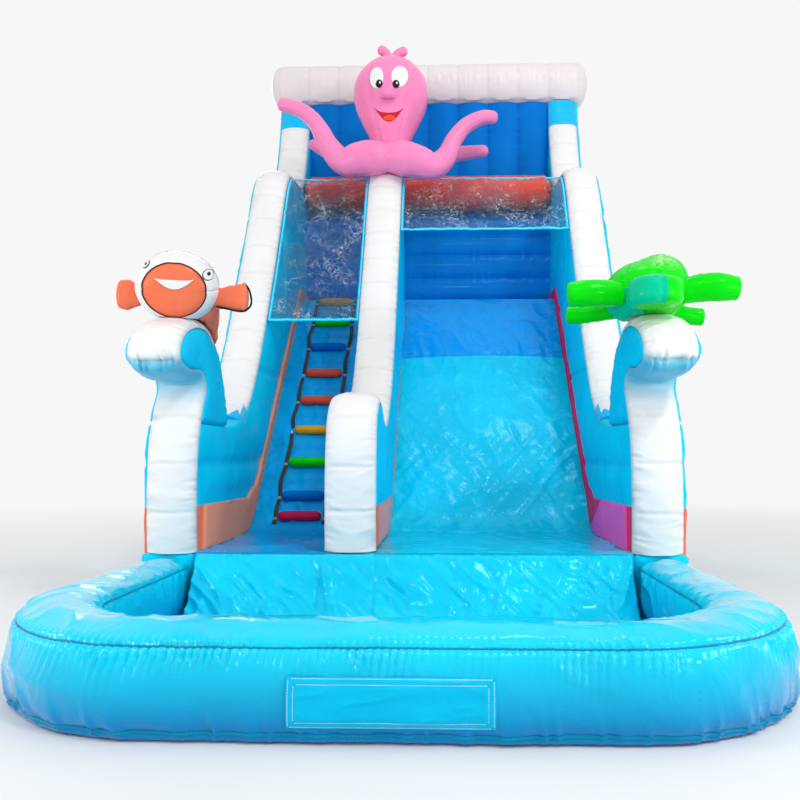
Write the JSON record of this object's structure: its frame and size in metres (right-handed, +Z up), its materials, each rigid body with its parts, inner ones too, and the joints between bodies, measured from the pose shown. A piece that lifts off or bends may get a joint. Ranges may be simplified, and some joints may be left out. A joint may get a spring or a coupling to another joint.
{
  "type": "inflatable water slide",
  "caption": "Tall inflatable water slide with a climbing lane beside a wide slide lane, curled wave pillars, sea-animal figures and a splash pool.",
  "frame": {"origin": "on the ground, on the tower's centre plane, at the front face of the tower where it meets the pool", "axes": "+Z up; +Y from the pool towards the back of the tower; +X to the right of someone who faces the slide from the pool, so the climbing lane is on the -X side"},
  "size_m": [4.6433, 7.3367, 6.4972],
  "materials": {
    "pvc_cyan": "PVC-coated fabric, glossy",
    "pvc_blue": "PVC-coated fabric, glossy",
    "pvc_white": "PVC-coated fabric, glossy",
    "pvc_orange": "PVC-coated fabric, glossy",
    "pvc_crimson": "PVC-coated fabric, glossy",
    "pvc_red": "PVC-coated fabric, glossy",
    "pvc_green": "PVC-coated fabric, glossy",
    "pvc_pink": "PVC-coated fabric, glossy",
    "sleeve_fabric": "thin coated nylon, matte",
    "webbing": "woven polyester webbing",
    "zip_tape": "woven tape with moulded teeth",
    "clear_film": "clear vinyl film, wrinkled",
    "ring_steel": "plated steel wire",
    "slider_steel": "satin metal"
  },
  "bodies": {
    "slide": {"anchor_tab_front_left": "webbing", "anchor_tab_front_right": "webbing", "anchor_tab_rear_left": "webbing", "anchor_tab_rear_right": "webbing", "back_panel": "pvc_blue", "back_wall": "pvc_cyan", "banner_patch": "pvc_cyan", "base_sheet": "pvc_blue", "climb_deck": "pvc_cyan", "climb_rung_1": "pvc_crimson", "climb_rung_2": "pvc_blue", "climb_rung_3": "pvc_green", "climb_rung_4": "pvc_orange", "climb_rung_5": "pvc_red", "climb_rung_6": "pvc_red", "climb_rung_7": "pvc_blue", "climb_rung_8": "pvc_green", "climb_rung_9": "pvc_orange", "climb_strap_left": "webbing", "climb_strap_right": "webbing", "cover_film_climb": "clear_film", "cover_film_slide": "clear_film", "deflation_zip": "zip_tape", "divider_cap": "pvc_white", "divider_wall": "pvc_cyan", "fish_body": "pvc_orange", "fish_fin_left": "pvc_orange", "fish_fin_right": "pvc_orange", "inflation_sleeve": "sleeve_fabric", "landing_sheet": "pvc_cyan", "octopus_arm_left": "pvc_pink", "octopus_arm_right": "pvc_pink", "octopus_head": "pvc_pink", "pillar_face_left": "pvc_white", "pillar_face_right": "pvc_white", "platform_deck": "pvc_blue", "pool_floor": "pvc_cyan", "pool_wall": "pvc_cyan", "side_wall_left": "pvc_cyan", "side_wall_right": "pvc_cyan", "slide_deck": "pvc_cyan", "support_baffle_front": "pvc_blue", "support_baffle_rear": "pvc_blue", "top_roll": "pvc_red", "turtle_body": "pvc_green", "turtle_flipper_left": "pvc_green", "turtle_flipper_right": "pvc_green", "turtle_head": "pvc_green", "wall_cap_left": "pvc_white", "wall_cap_right": "pvc_white", "wall_skirt_left": "pvc_orange", "wall_skirt_right": "pvc_crimson", "wave_crest": "pvc_white", "wave_head_left": "pvc_cyan", "wave_head_right": "pvc_cyan"},
    "anchor_ring_front_left": {"anchor_ring_front_left": "ring_steel"},
    "anchor_ring_front_right": {"anchor_ring_front_right": "ring_steel"},
    "anchor_ring_rear_left": {"anchor_ring_rear_left": "ring_steel"},
    "anchor_ring_rear_right": {"anchor_ring_rear_right": "ring_steel"},
    "zip_slider": {"zip_slider": "slider_steel"}
  },
  "joints": [
    {"name": "anchor_ring_front_left_swing", "type": "hinge", "parent": "slide", "child": "anchor_ring_front_left", "pos_m": [-2.0088, 0.16, 0.42], "axis": [0, 1, 0], "range_deg": [0, 120]},
    {"name": "anchor_ring_front_right_swing", "type": "hinge", "parent": "slide", "child": "anchor_ring_front_right", "pos_m": [2.0088, 0.16, 0.42], "axis": [0, -1, 0], "range_deg": [0, 120]},
    {"name": "anchor_ring_rear_left_swing", "type": "hinge", "parent": "slide", "child": "anchor_ring_rear_left", "pos_m": [-2.0088, 4.2, 0.2], "axis": [0, 1, 0], "range_deg": [0, 120]},
    {"name": "anchor_ring_rear_right_swing", "type": "hinge", "parent": "slide", "child": "anchor_ring_rear_right", "pos_m": [2.0088, 4.2, 0.2], "axis": [0, -1, 0], "range_deg": [0, 120]},
    {"name": "zip_slider_travel", "type": "slide", "parent": "slide", "child": "zip_slider", "axis": [1, 0, 0], "range_m": [0, 0.56]}
  ]
}
